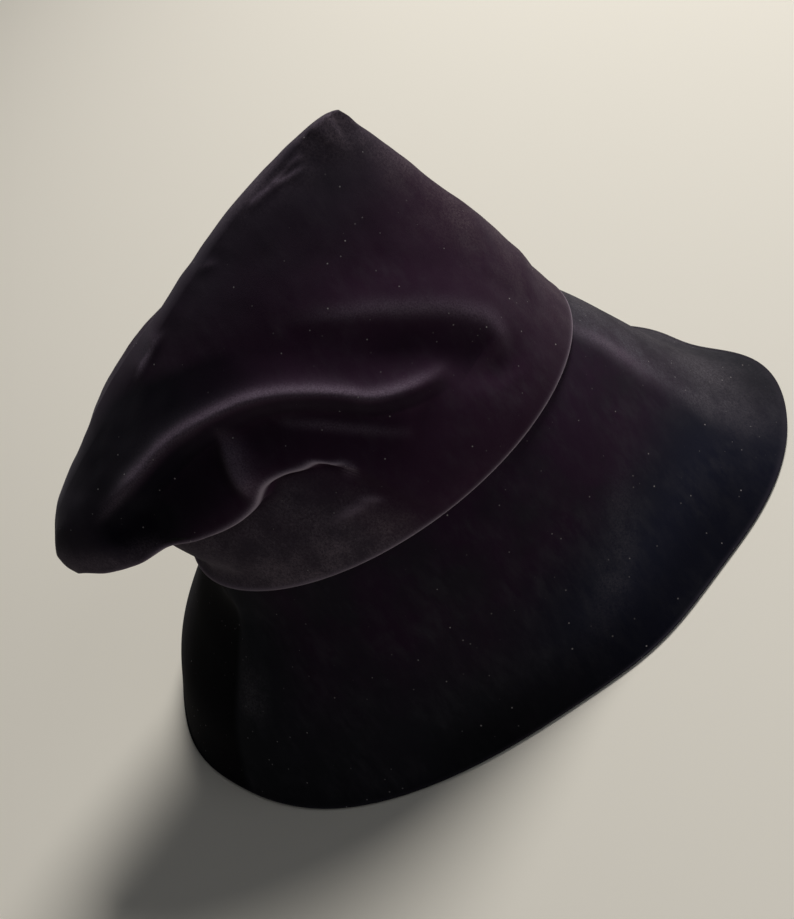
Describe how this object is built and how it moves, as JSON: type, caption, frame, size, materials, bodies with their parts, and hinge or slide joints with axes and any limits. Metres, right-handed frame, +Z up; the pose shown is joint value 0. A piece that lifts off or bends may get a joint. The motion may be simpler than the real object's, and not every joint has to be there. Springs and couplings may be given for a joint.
{
  "type": "wide-brim velvet hat",
  "caption": "Black velvet hat with a tall, peaked crown that drapes over at the back, above a deep bell brim.",
  "frame": {"origin": "middle of the brim's edge, on the surface that the hat stands on", "axes": "+Z up, -Y towards the front of the hat, -X towards the wearer's right, the side that the picture shows"},
  "size_m": [0.2476, 0.3256, 0.2181],
  "materials": {
    "crown_velvet": "black silk velvet with a faint purple cast, soft short pile, pale sheen on folds and turned edges",
    "brim_velvet": "black silk velvet with a faint navy cast, smooth over a stiffened brim, turned edge"
  },
  "bodies": {
    "root": {"crown": "crown_velvet", "brim": "brim_velvet"}
  },
  "joints": []
}
